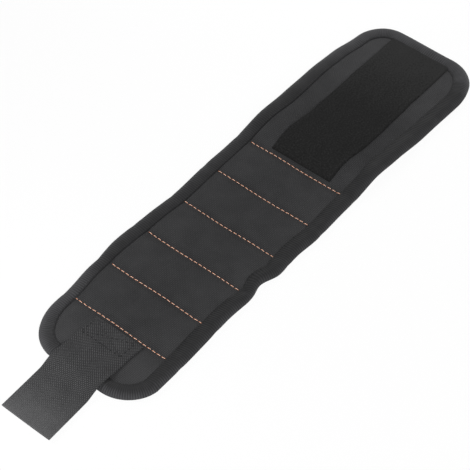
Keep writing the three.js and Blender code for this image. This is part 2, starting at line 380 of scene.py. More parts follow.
def panel_cloth(settings):
    """Coarse synthetic cloth in a plain weave: dark grey-black yarns that stand up as tiny blocks, a faint
    dull shine on their crowns that is partly painted light, slightly lighter patches that look like wear, and
    painted light and shade along the band."""
    material, tree = start_material("ballistic_polyester")
    uv = node(tree, "TexCoord").outputs["UV"]
    # Yarns are taken to be 0.6 mm apart, too fine to show, so the weave is drawn nearly twice as coarse.
    blocks = plain_weave(tree, uv, settings.weave_pitch, 0.75)
    fibre = node(tree, "TexNoise", {"Vector": uv, "Scale": repeats(0.35)})
    height = layered(tree, (blocks, 1), (fibre, 0.3))
    patches = node(tree, "TexNoise", {"Vector": uv, "Scale": repeats(14), "Detail": 4.0})
    layers = [(height, 0.52), (patches, 0.36)]
    # Painted light makes both ends paler than the middle of the pockets; the long sides are paler too.
    along, across = node(tree, "SeparateXYZ", {"Vector": uv}).outputs[:2]
    off_middle = node(tree, "Math", {0: across}, operation="ABSOLUTE")
    # Painted shade darkens it along the seams, where it lies in a ditch.
    half_pitch = (SEAM[1] - SEAM[0]) / 2
    by_seams = node(tree, "Clamp", {"Value": along, "Min": (SEAM[0] - half_pitch) * MM,
                                    "Max": (SEAM[5] + half_pitch) * MM})
    from_first = node(tree, "Math", {0: by_seams, 1: SEAM[0] * MM}, operation="SUBTRACT")
    from_seam = node(tree, "Math", {0: from_first, 1: half_pitch * MM}, operation="PINGPONG")
    # Painted shade makes the strips beside the near half of the loop patch the darkest.
    painted_light_and_shade = ((off_middle, 10, 33, 0.08), (along, -114, -132, 0.11), (along, 130, 175, 0.14),
            (from_seam, 5, 0, -0.12), (along, 62, 78, -0.12), (along, 112, 145, 0.12))
    for place, start, end, more in painted_light_and_shade:
        painted_shading = node(tree, "MapRange", {"Value": place, "From Min": start * MM, "From Max": end * MM})
        layers.append((painted_shading, more))
    surface(tree, layered(tree, *layers), tones("panel", 0.15, 0.5, 0.85), height, 0.2,
            {"Roughness": 0.75, "Specular IOR Level": 0.1, "Sheen Weight": 0.02})
    return material


def lining_mesh():
    """Soft padded spacer mesh: black knit with rows of small round holes that go dark inside."""
    material, tree = start_material("spacer_mesh")
    uv = node(tree, "TexCoord").outputs["UV"]
    cell = node(tree, "TexVoronoi", {"Vector": uv, "Scale": repeats(2.4), "Randomness": 0.12})
    open_part = node(tree, "MapRange", {"Value": cell, "From Min": 0.22, "From Max": 0.4})
    slanted = node(tree, "Mapping", {"Vector": uv, "Rotation": (0, 0, 0.6)})
    knit = node(tree, "TexWave", {"Vector": slanted, "Scale": WAVE * repeats(0.7)})
    height = layered(tree, (open_part, 1), (knit, 0.18))
    surface(tree, height, tones("lining", 0.1, 0.6, 1.0), height, 0.5,
            {"Roughness": 0.85, "Specular IOR Level": 0.2, "Sheen Weight": 0.06})
    return material


def binding_tape(settings, painted_light_and_shade):
    """Narrow ribbed tape: fine ribs across its width, charcoal, with painted shade along its inner edge and
    painted light over the outer fold, along the upper side and round both ends. Each stretch of painted light
    is where it starts, is full, fades and is gone, and how much."""
    material, tree = start_material("grosgrain_tape")
    uv = node(tree, "TexCoord").outputs["UV"]
    along, across = node(tree, "SeparateXYZ", {"Vector": uv}).outputs[:2]
    # Ribs are taken to be 0.8 mm apart, too fine to show, so they are drawn twice as coarse.
    ribs = node(tree, "TexWave", {"Vector": uv, "Scale": WAVE * repeats(settings.tape_rib)})
    yarn = node(tree, "TexWave", {"Vector": uv, "Scale": WAVE * repeats(0.9)}, bands_direction="Y")
    fibre = node(tree, "TexNoise", {"Vector": uv, "Scale": repeats(0.5)})
    height = layered(tree, (ribs, 1), (fibre, 0.3), (yarn, 0.1))
    patches = node(tree, "TexNoise", {"Vector": uv, "Scale": repeats(7), "Detail": 3.0})
    # Painted shade darkens its turned-in edges, which lie in the ditch they are sewn into.
    ditch = node(tree, "MapRange", {"Value": across, "From Min": 0.3 * MM, "From Max": 1.5 * MM,
                                    "To Min": 0.35})
    ground = layered(tree, (height, 0.3), (patches, 0.3))
    ground = node(tree, "Math", {0: ground, 1: ditch}, operation="MULTIPLY")
    # Painted shade on the inner slope of the fold, growing into painted light towards its outer edge.
    fold = node(tree, "MapRange", {"Value": across, "From Min": 1 * MM, "From Max": 12 * MM,
                                   "To Min": -0.19, "To Max": 0.17})
    # Painted light on the outer side of the fold, from past its crest round to the edge.
    crest = node(tree, "MapRange", {"Value": across, "From Min": 6 * MM, "From Max": 10.5 * MM})
    layers = [(ground, 1), (fold, 1), (crest, 0.13)]
    for start, full, fading, gone, more in painted_light_and_shade:
        grown, left = (node(tree, "MapRange", {"Value": along, "From Min": low * MM, "From Max": high * MM})
                       for low, high in ((start, full), (gone, fading)))
        layers.append((node(tree, "Math", {0: grown, 1: left}, operation="MULTIPLY"), more))
    surface(tree, layered(tree, *layers), tones("tape", 0.0, 0.25, 0.55, 0.85), height, 0.14,
            {"Roughness": 0.7, "Specular IOR Level": 0.12, "Sheen Weight": 0.08})
    return material


def webbing(settings):
    """Flat woven strap: fine yarns over and under each other in a close chequer, dark grey, a little lighter
    and shinier than the panel, with painted light making it paler towards the free end."""
    material, tree = start_material("polyester_webbing")
    uv = node(tree, "TexCoord").outputs["UV"]
    # Yarns are taken to be 0.6 mm apart, and are drawn a little coarser so that the chequer shows.
    blocks = plain_weave(tree, uv, settings.strap_pitch, 0.3)
    fibre = node(tree, "TexNoise", {"Vector": uv, "Scale": repeats(0.4)})
    height = layered(tree, (blocks, 1), (fibre, 0.25))
    patches = node(tree, "TexNoise", {"Vector": uv, "Scale": repeats(11), "Detail": 3.0})
    along = node(tree, "SeparateXYZ", {"Vector": uv}).outputs["X"]
    # Painted light grows towards the free tail.
    to_tip = node(tree, "MapRange", {"Value": along, "From Min": -150 * MM, "From Max": TIP_X * MM})
    painted_shading = node(tree, "Math", {0: to_tip, 1: 1.6}, operation="POWER")
    tone = layered(tree, (height, 0.75), (patches, 0.25), (painted_shading, 0.46))
    surface(tree, tone, tones("strap", 0.05, 0.42, 0.9), height, 0.25,
            {"Roughness": 0.6, "Specular IOR Level": 0.12, "Sheen Weight": 0.02})
    return material


def loop_pile():
    """Brushed loop fastener: deep matt black fuzz in tiny tangled curls with a soft paler bloom at grazing
    angles and brushed streaks."""
    material, tree = start_material("brushed_nylon_loop")
    uv = node(tree, "TexCoord").outputs["UV"]
    stretched = node(tree, "Mapping", {"Vector": uv, "Scale": (0.35, 1, 1)})
    curls = node(tree, "TexNoise", {"Vector": uv, "Scale": repeats(1.1), "Detail": 5.0})
    streaks = node(tree, "TexNoise", {"Vector": stretched, "Scale": repeats(7), "Detail": 3.0})
    height = layered(tree, (curls, 1), (streaks, 0.16))
    # Painted light makes the far end paler.
    along = node(tree, "SeparateXYZ", {"Vector": uv}).outputs["X"]
    painted_far_light = node(tree, "MapRange", {"Value": along, "From Min": 120 * MM, "From Max": 185 * MM})
    surface(tree, layered(tree, (height, 1), (painted_far_light, 0.26)), tones("pile", 0.3, 0.58, 0.86), height, 0.24,
            {"Roughness": 0.95, "Specular IOR Level": 0.05, "Sheen Weight": 0.02})
    return material


def hook_tape():
    """Moulded hook fastener: stiff black nylon with a dull gloss and faint rows left by the mould."""
    material, tree = start_material("moulded_nylon_hook")
    uv = node(tree, "TexCoord").outputs["UV"]
    rows = node(tree, "TexWave", {"Vector": uv, "Scale": WAVE * repeats(1.6)})
    grain = node(tree, "TexNoise", {"Vector": uv, "Scale": repeats(0.8), "Detail": 3.0})
    height = layered(tree, (rows, 1), (grain, 0.4))
    surface(tree, height, tones("hook", 0.1, 0.9), height, 0.08, {"Roughness": 0.4})
    return material


def thread(name, finish, length=BLACK_STITCH):
    """Sewing thread, seen as two plies twisted round each other: painted light on the crown of each ply,
    painted shade where they meet, and painted shade at the ends where each stitch, length millimetres long,
    dives into the cloth."""
    material, tree = start_material(name)
    uv = node(tree, "TexCoord").outputs["UV"]
    # The map is in metres along the stitch and in turns round it.
    twist = node(tree, "Mapping", {"Vector": uv, "Scale": (repeats(0.9), 1, 1)})
    plies = node(tree, "TexWave", {"Vector": twist, "Scale": WAVE * 1.4}, bands_direction="DIAGONAL")
    hair = node(tree, "TexNoise", {"Vector": uv, "Scale": repeats(0.3), "Detail": 3.0})
    tone = height = layered(tree, (plies, 1), (hair, 0.3))
    along = node(tree, "SeparateXYZ", {"Vector": uv}).outputs["X"]
    for end, clear in ((0, length * 0.2), (length, length * 0.8)):
        shade = node(tree, "MapRange", {"Value": along, "From Min": end * MM, "From Max": clear * MM})
        tone = node(tree, "Math", {0: tone, 1: shade}, operation="MULTIPLY")
    surface(tree, tone, tones(finish, 0.05, 0.45, 0.95), height, 0.06,
            {"Roughness": 0.6, "Specular IOR Level": 0.2, "Sheen Weight": 0.05})
    return material


def magnet_nickel():
    """Plated bar magnets: pale grey metal with fine tumbling marks and slight clouding."""
    material, tree = start_material("nickel_plate")
    place = node(tree, "TexCoord").outputs["Object"]
    cloud = node(tree, "TexNoise", {"Vector": place, "Scale": repeats(4), "Detail": 4.0})
    marks = node(tree, "TexNoise", {"Vector": place, "Scale": repeats(0.4), "Detail": 5.0})
    surface(tree, cloud, tones("magnet", 0.3, 0.7), marks, 0.02, {"Metallic": 1.0, "Roughness": 0.32})
    return material


def stage_paper(settings):
    """White tracing paper with a barely seen tooth and a pale soft shadow. What hangs below shows through."""
    material, tree = start_material("tracing_paper")
    place = node(tree, "TexCoord").outputs["Object"]
    tooth = node(tree, "TexNoise", {"Vector": place, "Scale": repeats(3), "Detail": 3.0})
    shader = surface(tree, tooth, tones("paper", 0.2, 0.8), tooth, 0.02,
                     {"Roughness": 0.9, "Specular IOR Level": 0.0})
    path = node(tree, "LightPath").outputs
    looked = seen_directly(tree, path)
    reached = node(tree, "Math", {0: looked, 1: path["Is Shadow Ray"]}, operation="MAXIMUM")
    through = layered(tree, (reached, settings.see_through))
    mix = node(tree, "MixShader", {0: through, 1: shader, 2: node(tree, "BsdfTransparent")})
    tree.links.new(mix.outputs[0], tree.nodes["Material Output"].inputs["Surface"])
    return material


def seen_directly(tree, path):
    """1 for what the camera, a mirror or glass looks at, 0 for light that bounces."""
    most = path["Is Camera Ray"]
    for other in ("Is Glossy Ray", "Is Transmission Ray"):
        most = node(tree, "Math", {0: most, 1: path[other]}, operation="MAXIMUM")
    return most


# The outer panel, blown up between its sewn lines.

# The blown cloth's places along and across the band and its heights there, filled in by simulate_panel.
RELIEF = {}
COLUMN_STEP = 1.6
ROWS = 49


def inside(x, v):
    """The place across the panel at share v of its half width, from -1 to 1."""
    return v * np.where(v > 0, half_width(x, PANEL_INSET, True), half_width(x, PANEL_INSET, False))


def simulate_panel():
    """Pins the flat outer panel along its seams and edge, blows it up with Cloth, and keeps the heights,
    each field between two seams scaled to 1 at its crown."""
    # The cloth runs at ten times its size, where the solver's own settings suit it.
    scale, frames, smoothings = 10, 20, 40
    x = np.linspace(HEEL_X + PANEL_INSET, FAR_X - PANEL_INSET, int((FAR_X - HEEL_X) / COLUMN_STEP))
    v = np.linspace(-1, 1, ROWS)
    grid_x, grid_v = np.meshgrid(x, v)
    grid_y = inside(grid_x, grid_v)
    ripple = 0.05 * np.sin(grid_x * 1.3 + grid_y * 0.7) * np.cos(grid_y * 0.9)
    blank = shaped_grid("panel_blank", np.stack([grid_x, grid_y, ripple], -1) * scale, 0, 0)
    sewn = np.minimum.reduce([np.abs(grid_x - s) for s in SEAM]) < 0.5 * COLUMN_STEP
    sewn &= np.abs(grid_y) < SEAM_HALF + 1
    sewn[0] = sewn[-1] = True
    sewn[:, 0] = sewn[:, -1] = True
    group = blank.vertex_groups.new(name="sewn")
    group.add(np.flatnonzero(sewn.ravel()).tolist(), 1.0, "REPLACE")
    pick(blank)
    bpy.ops.object.modifier_add(type="CLOTH")
    cloth = blank.modifiers[-1].settings
    cloth.vertex_group_mass = "sewn"
    cloth.quality = 6
    cloth.mass = 0.2
    cloth.tension_stiffness = cloth.compression_stiffness = 20
    cloth.shear_stiffness = 8
    cloth.bending_stiffness = 0.8
    cloth.shrink_min = -0.02
    cloth.use_pressure = True
    cloth.uniform_pressure_force = 4
    cloth.effector_weights.gravity = 0
    scene = bpy.context.scene
    for step in range(1, frames + 1):
        scene.frame_set(step)
    done = blank.evaluated_get(bpy.context.evaluated_depsgraph_get())
    co = np.zeros(len(done.data.vertices) * 3)
    done.data.vertices.foreach_get("co", co)
    height = np.abs(co.reshape(ROWS, len(x), 3)[:, :, 2])
    scene.frame_set(1)
    bpy.data.objects.remove(blank)
    bounds = [HEEL_X] + SEAM + [FAR_X]
    for low, high in zip(bounds, bounds[1:]):
        field = (x >= low) & (x < high)
        crown = np.percentile(height[:, field], 92)
        if not crown > 0:
            raise RuntimeError("the outer panel did not rise between its seams")
        height[:, field] /= crown
    # The sewn patch is stiff, so the loop end lies smooth.
    smooth = height.copy()
    for _ in range(smoothings):
        beside = smooth[:-2, 1:-1] + smooth[2:, 1:-1] + smooth[1:-1, :-2] + smooth[1:-1, 2:]
        smooth[1:-1, 1:-1] = beside / 4
    height += (smooth - height) * rise(x, SEAM[5] + 1, SEAM[5] + 9)
    RELIEF.update(x=x, v=v, height=np.minimum(height, 1.25))


def puffed(x, v):
    """Share of the crown's height at a place on the panel, from the blown cloth."""
    gx, gv, height = RELIEF["x"], RELIEF["v"], RELIEF["height"]
    i = np.clip(np.searchsorted(gx, x) - 1, 0, len(gx) - 2)
    j = np.clip(((v + 1) / 2 * (ROWS - 1)).astype(int), 0, ROWS - 2)
    s = np.clip((x - gx[i]) / (gx[i + 1] - gx[i]), 0, 1)
    t = np.clip((v - gv[j]) / (gv[j + 1] - gv[j]), 0, 1)
    low = height[j, i] * (1 - s) + height[j, i + 1] * s
    high = height[j + 1, i] * (1 - s) + height[j + 1, i + 1] * s
    return low * (1 - t) + high * t


# Crown height of the panel over its sewn lines, along the band: heel, five pockets, then the loop end.
CROWN = ((-160, 1.0), (-119, 1.2), (-112, 1.5), (50, 1.5), (54, 2.4), (70, 2.8), (115, 2.1), (204, 1.8))
# Height of the panel's face over the band's underside where it is held down.
SEWN_HEIGHT = 2.75
# Each seam is drawn down: a narrow ditch under the thread, with a long slope before it and a short one after.
DITCH_DEPTH, DITCH_WIDTH = 0.25, 1.1
SLOPE_DEPTH, SLOPE_BEFORE, SLOPE_AFTER = 0.45, 4.0, 1.8
# Height of the puckers along a seam, and of the unevenness of the slack cloth.
PUCKER, SLACK = 0.1, 0.1


def panel_height(x, y):
    """Height of the outer panel's face over the table."""
    x, y = np.broadcast_arrays(np.asarray(x, float), np.asarray(y, float))
    half = np.where(y > 0, half_width(x, PANEL_INSET, True), half_width(x, PANEL_INSET, False))
    v = np.clip(y / np.maximum(half, 1), -1, 1)
    # Behind the last seam the loop end climbs slowly, more on its upper side.
    climb = np.where(x > SEAM[5], rise(x, SEAM[5] - 1, SEAM[5] + 15) * (1 + 0.006 * y), 1)
    out = SEWN_HEIGHT + eased(x, CROWN) * puffed(x, v) * climb + lift(x, y)
    sewn = 1 - rise(np.abs(y), SEAM_HALF, SEAM_HALF + 3)
    for k, seam in enumerate(SEAM):
        near = np.abs(x - seam)
        pucker = np.sin(y * (0.83 + 0.04 * math.sin(k * 2.1)) + k * 1.7) + 0.6 * np.sin(y * 1.37 + k)
        out = out + PUCKER * pucker * np.exp(-near / 4) * sewn * rise(near, 0, 1.5)
        ditch = DITCH_DEPTH * np.exp(-(near / DITCH_WIDTH) ** 2)
        slope = SLOPE_DEPTH * np.exp(-near / np.where(x < seam, SLOPE_BEFORE, SLOPE_AFTER))
        out = out - (ditch + slope) * sewn
    return out + SLACK * np.sin(x / 6.1 + y / 9.7) * np.sin(y / 11.3 - x / 17.0 + 1.0)


def seam_row(settings):
    """Where the stitches of a seam start: an even row that ends just under the tape on both sides."""
    count = math.ceil(2 * SEAM_HALF / settings.seam_stitch)
    return (np.arange(count) - (count - 1 + ORANGE_SHARE) / 2) * settings.seam_stitch


def stations(low, high, step):
    """Even places from low to high, about a step apart."""
    return np.linspace(low, high, max(3, int(round((high - low) / step)) + 1))


def cloth_grid(k, step, rows):
    """Piece k of the panel or the lining: grids of the place along it and across it, and of the place across
    after its edges bow, and the piece's length."""
    low, high = max(CUT[k - 1], HEEL_X + PANEL_INSET), min(CUT[k], FAR_X - PANEL_INSET)
    x, v = np.meshgrid(stations(low, high, step), np.linspace(-1, 1, rows))
    y = inside(x, v)
    return x, y, warped(x, y), high - low


class WRISTBAND_OT_panel(bpy.types.Operator):
    """Outer panel of coarse woven cloth, blown up between the seams and parted midway between the folds"""
    bl_idname = "wristband.panel"
    bl_label = "Outer panel"

    def execute(self, context):
        settings = context.scene.wristband
        simulate_panel()
        material = panel_cloth(settings)
        for k in PIECES:
            x, y, bowed, length = cloth_grid(k, settings.grid_step, rows=99)
            obj = shaped_grid(f"panel_{k}", np.stack([x, bowed, panel_height(x, y)], -1), x, y)
            hang(obj, k, material, "panel_cloth", "outer")
        return {"FINISHED"}


class WRISTBAND_OT_lining(bpy.types.Operator):
    """Padded spacer mesh on the underside, quilted by the seams"""
    bl_idname = "wristband.lining"
    bl_label = "Padded lining"

    PAD = 0.4
    # Height of the skin face in the fields, how far a seam draws it up, and how far from the seam it reaches.
    FIELD_HEIGHT, DRAWN, REACH = 0.15, 0.55, 2.2

    def execute(self, context):
        settings = context.scene.wristband
        material = lining_mesh()
        black = thread("black_bobbin_thread", "bobbin_thread")
        for k in PIECES:
            x, y, bowed, _ = cloth_grid(k, settings.grid_step * 1.3, rows=61)
            obj = shaped_grid(f"lining_{k}", np.stack([x, bowed, self.height(x, y)], -1), x, y)
            with edit_mode(obj):
                bpy.ops.mesh.flip_normals()
            # The pad's thickness stands inside the band, away from the skin side.
            solid = obj.modifiers.new("padding", "SOLIDIFY")
            solid.thickness, solid.offset = self.PAD * MM, -1
            hang(obj, k, material, "lining_mesh", "lining")
            if k > len(SEAM):
                continue
            seam = SEAM[k - 1]
            ends = [[(seam, y, float(self.height(seam, y)) - 0.02) for y in (start, start + BOBBIN_STITCH)]
                    for start in seam_row(settings)]
            row = stitches(f"bobbin_{k}", ends, radius=0.28, sink=0.2, steps=4)
            hang(row, k, black, "seam_thread")
        return {"FINISHED"}

    def height(self, x, y):
        """Height of the skin face over the table: low in each field and drawn up along the seams."""
        out = self.FIELD_HEIGHT + lift(x, y)
        sewn = 1 - rise(np.abs(y), SEAM_HALF, SEAM_HALF + 4)
        for seam in SEAM:
            out = out + self.DRAWN * np.exp(-np.abs(x - seam) / self.REACH) * sewn
        return out


# The folded tape round the edge.

def edge_path():
    """The outline's places in order, from the lower edge round the far end, and back round the heel."""
    def straight(low, high):
        cuts = [c for c in CUT if low < c < high]
        return np.unique(np.concatenate([stations(low, high, EDGE_STEP), cuts]))

    def corner(cx, cy, radius, start):
        turn = np.radians(np.linspace(start, start + 90, 22)[1:-1])
        return list(zip(cx + radius * np.cos(turn), cy + radius * np.sin(turn)))

    path = [(x, -HALF) for x in straight(HEEL_X + HEEL_LOW, FAR_X - FAR_LOW)]
    path += corner(FAR_X - FAR_LOW, FAR_LOW - HALF, FAR_LOW, -90)
    path += [(FAR_X, y) for y in stations(FAR_LOW - HALF, HALF - FAR_UP, EDGE_STEP)]
    path += corner(FAR_X - FAR_UP, HALF - FAR_UP, FAR_UP, 0)
    path += [(x, HALF) for x in straight(HEEL_X + HEEL_UP, FAR_X - FAR_UP)[::-1]]
    path += corner(HEEL_X + HEEL_UP, HALF - HEEL_UP, HEEL_UP, 90)
    path += [(HEEL_X, y) for y in stations(HEEL_LOW - HALF, HALF - HEEL_UP, EDGE_STEP)[::-1]]
    path += corner(HEEL_X + HEEL_LOW, HEEL_LOW - HALF, HEEL_LOW, 180)
    path = np.array(path)
    path[:, 1] = warped(path[:, 0], path[:, 1])
    return path


class WRISTBAND_OT_binding(bpy.types.Operator):
    """Ribbed tape folded over the whole edge, puffed and drawn in at each seam, with its row of stitches"""
    bl_idname = "wristband.binding"
    bl_label = "Binding"

    # The fold's section from its upper inner edge over the crest and round to its lower inner edge, as
    # distance in from the edge and height over a level above the underside.
    LEVEL = 3.0
    SECTION = ((10.0, 0.0), (9.95, 0.3), (9.7, 0.6), (8.9, 0.8), (7.6, 1.15), (6.2, 1.4), (4.7, 1.5),
               (3.2, 1.35), (1.9, 0.95), (0.9, 0.35), (0.25, -0.5), (0.0, -1.3), (0.2, -2.1), (0.8, -2.6),
               (1.8, -2.85), (3.4, -2.9), (5.5, -2.9), (7.6, -2.9), (9.4, -2.88), (10.0, -2.8))
    # How closely the first rows of the section keep to the panel, and their height over it.
    SEATED = ((1.0, -0.1), (1.0, 0.45), (0.9, 0.65), (0.4, 0.8))
    # The row of the section that is sewn through, and the row at its crest.
    SEWN_ROW, CREST_ROW = 3, 6
    # Where the lower side is pinched between two seams.
    PINCH_X = -36.5

    # How much wider or narrower the tape lies on each side, along the band.
    UPPER_COVER = ((-150, 1.0), (-118, 0.85), (-90, 0.88), (-66, 1.02), (75, 1.02), (105, 1.18),
                   (150, 1.02))
    LOWER_COVER = ((-140, 1.02), (-112, 1.1), (-92, 1.1), (-76, 1.03), (-62, 1.03), (-45, 0.86), (-34, 0.92),
                   (-16, 1.1), (10, 1.12), (40, 1.06), (70, 1.02), (90, 1.14))

    def execute(self, context):
        settings = context.scene.wristband
        black = thread("black_edge_thread", "edge_thread")
        path = edge_path()
        ahead = np.roll(path, -1, 0) - np.roll(path, 1, 0)
        ahead /= np.linalg.norm(ahead, axis=1)[:, None]
        inward = np.stack([-ahead[:, 1], ahead[:, 0]], -1)
        run = distances(path)
        # The last place is about a step away from the first.
        round_length = run[-1] + EDGE_STEP
        points, width = self.sweep(path, inward, run)

        def place(x, upper):
            side = np.flatnonzero((path[:, 1] > 0) == upper)
            return float(run[side[np.argmin(np.abs(path[side, 0] - x))]])

        # Stretches of painted light on the tape: round the far end, along the upper side and round the heel.
        painted_light_and_shade = ((place(178, False), place(192, False), place(170, True), place(112, True), 0.42),
                (place(95, True), place(55, True), place(-125, True), place(HEEL_X + 1, True), 0.17),
                (place(-82, True), place(-108, True), place(HEEL_X + 1, True),
                 round_length + CUT[1] - HEEL_X - HEEL_LOW, 0.27))
        material = binding_tape(settings, painted_light_and_shade)
        sewn_row = points[self.SEWN_ROW] + np.array((0, 0, 0.02))
        upper = path[:, 1] > 0
        for k in PIECES:
            within = (path[:, 0] >= CUT[k - 1] - 1e-6) & (path[:, 0] <= CUT[k] + 1e-6)
            runs = self.runs(within, upper, k)
            tapes, ends = [], []
            for i, picked in enumerate(runs):
                grid = points[:, picked]
                u = run[picked] + np.where(picked < picked[0], round_length, 0)
                tapes.append(shaped_grid(f"binding_{k}_{i}", grid, u[None, :], width[:, None]))
                ends += self.sew(sewn_row[picked], settings.stitch_length)
            obj = joined(f"binding_{k}", tapes)
            hang(obj, k, material, "binding_tape", "binding")
            row = stitches(f"binding_stitches_{k}", ends, radius=0.26, sink=0.2, steps=4)
            hang(row, k, black, "binding_tape")
        return {"FINISHED"}

    def sweep(self, path, inward, run):
        """The tape's points by place across it and along it, and the distance across it."""
        section = np.array(self.SECTION)
        x, y = path[:, 0], path[:, 1]
        draw = np.zeros(len(path))
        for seam in SEAM:
            draw += np.exp(-((x - seam + np.where(y > 0, 2.5, -0.8)) / 2.6) ** 2)
        draw += 0.9 * np.exp(-((x - self.PINCH_X) / 5) ** 2) * (y < 0)
        swell = 1 + 0.10 * np.sin(run / 7.3) + 0.08 * np.sin(run / 3.1 + 1) - 0.22 * draw
        grid = np.zeros((len(section), len(path), 3))
        for i, (depth, up) in enumerate(section):
            wide = depth * np.where(y < 0, eased(x, self.LOWER_COVER), eased(x, self.UPPER_COVER))
            edge = wide + (0.25 * draw + 0.25 * np.sin(run / 11)) * (1 - depth / TAPE_COVER)
            grid[i, :, :2] = path + inward * edge[:, None]
            # On the lower side the fold is fuller, with its crest nearer the edge.
            full = np.where(y < 0, 1 + 0.45 * math.exp(-((depth - 3.4) / 2.4) ** 2), 1)
            grid[i, :, 2] = self.LEVEL + up * np.where(up > 0, swell * full, 1) + lift(x, y)
        # The upper edge is sewn down on the panel, and the next rows ease up from it.
        for i, (share, up) in enumerate(self.SEATED):
            seat = panel_height(grid[i, :, 0], grid[i, :, 1]) + up
            grid[i, :, 2] += (seat - grid[i, :, 2]) * share
        return grid, distances(section)

    @staticmethod
    def runs(within, upper, k):
        """The stretches of the outline that belong to one piece: both sides, or one that rounds an end."""
        picked = np.flatnonzero(within)
        if k == 8:
            return [picked]
        if k == 1:
            breaks = np.flatnonzero(np.diff(picked) > 1)[0] + 1
            return [np.concatenate([picked[breaks:], picked[:breaks]])]
        return [picked[~upper[picked]], picked[upper[picked]]]

    @staticmethod
    def sew(row, pitch):
        """Start and end of each stitch along a row of places."""
        run = distances(row)
        starts = np.arange(0.4, run[-1] - BLACK_STITCH - 0.2, pitch)
        return [[[float(np.interp(s, run, axis)) for axis in row.T] for s in (start, start + BLACK_STITCH)]
                for start in starts]


class WRISTBAND_OT_seams(bpy.types.Operator):
    """Six rows of bright orange stitches across the band"""
    bl_idname = "wristband.seams"
    bl_label = "Orange seams"

    def execute(self, context):
        settings = context.scene.wristband
        length = settings.seam_stitch * ORANGE_SHARE
        material = thread("orange_polyester_thread", "seam_thread", length)
        chance = random.Random(7)
        for k, seam in enumerate(SEAM, 1):
            ends = []
            for y in seam_row(settings):
                lean = chance.uniform(-0.22, 0.22)
                spots = []
                for s, side in ((y, -1), (y + length, 1)):
                    x = seam + lean * side + 0.25 * math.sin(s / 9 + k)
                    spots.append((x, s, float(panel_height(x, s)) + 0.30))
                ends.append(spots)
            obj = stitches(f"seam_{k}_stitches", ends, radius=settings.thread_width / 2, sink=0.45)
            hang(obj, k, material, "seam_thread")
            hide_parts(f"seam_{k}_thread")
        return {"FINISHED"}


class WRISTBAND_OT_patch(bpy.types.Operator):
    """Long brushed loop patch on the far end, with rounded edges and a sewn border"""
    bl_idname = "wristband.patch"
    bl_label = "Loop patch"

    THICK = 1.5
    START, END = SEAM[5] + 3.6, FAR_X - 9.0
    # Half the width that shows, and how far the patch is sewn off the middle, along the band.
    HALF_WIDTH = 24.2
    ASKEW = ((58, -1.5), (70, -1.2), (96, -2.9), (110, -2.6), (128, -1.75), (138, -1.6), (150, -0.7),
             (176, -0.8), (190, -0.4))
    # Extra rows this close to an edge round it off.
    NEAR_EDGE = np.array((0, 0.15, 0.5))
    # How far in from the edge the patch is sewn.
    BORDER = 2.4

    def execute(self, context):
        settings = context.scene.wristband
        material = loop_pile()
        black = thread("black_patch_thread", "patch_thread")
        half = self.HALF_WIDTH
        chance = np.random.default_rng(11)
        parted = (self.START, CUT[6], CUT[7], self.END)
        for k, low, high in zip((6, 7, 8), parted, parted[1:]):
            first, last = low == self.START, high == self.END
            x = stations(low, high, settings.grid_step)
            y = stations(-half + 1.1, half - 1.1, settings.grid_step)
            y = np.concatenate([-half + self.NEAR_EDGE, y, (half - self.NEAR_EDGE)[::-1]])
            if first:
                x = np.concatenate([low + self.NEAR_EDGE, x[x > low + 1]])
            if last:
                x = np.concatenate([x[x < high - 1], (high - self.NEAR_EDGE)[::-1]])
            gx, gy = np.meshgrid(x, y)
            inset = np.minimum(half - np.abs(gy), np.minimum(gx - self.START, self.END - gx))
            gy = gy + self.centre(gx)
            round_edge = rounded(inset, 1.6)
            fuzz = chance.normal(0, 0.07, gx.shape) * round_edge
            # Where the patch is parted its pieces meet without fuzz.
            if not first:
                fuzz[:, 0] = 0
            if not last:
                fuzz[:, -1] = 0
            groove = 0.2 * np.exp(-((inset - 2.0) / 0.7) ** 2)
            top = panel_height(gx, gy) - 0.15 + (self.THICK + 0.15 - groove) * round_edge + fuzz
            obj = shaped_grid(f"loop_patch_{k}", np.stack([gx, gy, top], -1), gx, gy)
            hang(obj, k, material, "loop_pile", "patch")
            ends = self.border(low, high, settings.stitch_length)
            row = stitches(f"loop_patch_stitches_{k}", ends, radius=0.25, sink=0.2, steps=4)
            hang(row, k, black, "loop_pile")
        return {"FINISHED"}

    def centre(self, x):
        """The patch is sewn on a little askew."""
        return eased(x, self.ASKEW)

    def border(self, low, high, pitch):
        """Stitches along the patch's edges between two places."""
        ends = []

        def add(*spots):
            ends.append([(x, y, float(panel_height(x, y)) + self.THICK - 0.3) for x, y in spots])

        start, end = self.START + self.BORDER, self.END - self.BORDER
        for side in (-1, 1):
            for x in np.arange(max(low, start), min(high, end) - BLACK_STITCH - 0.2, pitch):
                y = float(self.centre(x)) + side * (self.HALF_WIDTH - self.BORDER)
                add((x, y), (x + BLACK_STITCH, y))
        for x, there in ((start, low == self.START), (end, high == self.END)):
            if there:
                for y in np.arange(-self.HALF_WIDTH + 2.8, self.HALF_WIDTH - 3, pitch) + self.centre(x):
                    add((x, y), (x, y + BLACK_STITCH))
        return ends


# Places along the strap and its middle there, which lies a little skew across the heel.
STRAP_SKEW = ((TIP_X, -187, -165, -121), (-4.8, -3.9, -2.8, -3.0))
# Stretches of the strap, as distances from the frame's middle: where it climbs on to the binding, comes
# down to the hook patch and curls up at its tip.
CLIMB, DESCENT, TIP_CURL = (143, 151), (157.5, 171), (185, 206)
# Height of the strap's underside over the heel's underside where it crosses the binding.
CROSSING = 4.75


def strap_centre(x):
    """The place across the band of the strap's middle."""
    return np.interp(x, *STRAP_SKEW)


def strap_floor(x):
    """Height of the strap's underside: on the heel, over the binding and down to the hook patch."""
    on_heel = panel_height(x, -2.5) + 0.1
    crest = CROSSING + lift(x, 0)
    over = on_heel + (np.maximum(crest, on_heel) - on_heel) * rise(-x, *CLIMB)
    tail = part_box("hook_patch")[1].z / MM + 0.3 * rise(-x, *TIP_CURL)
    return over + (tail - over) * rise(-x, *DESCENT)


def strap_cup(x, across):
    """A shallow cup across the free tail."""
    return 0.25 * (across / 19.5) ** 2 * rise(-x, 170, 195)


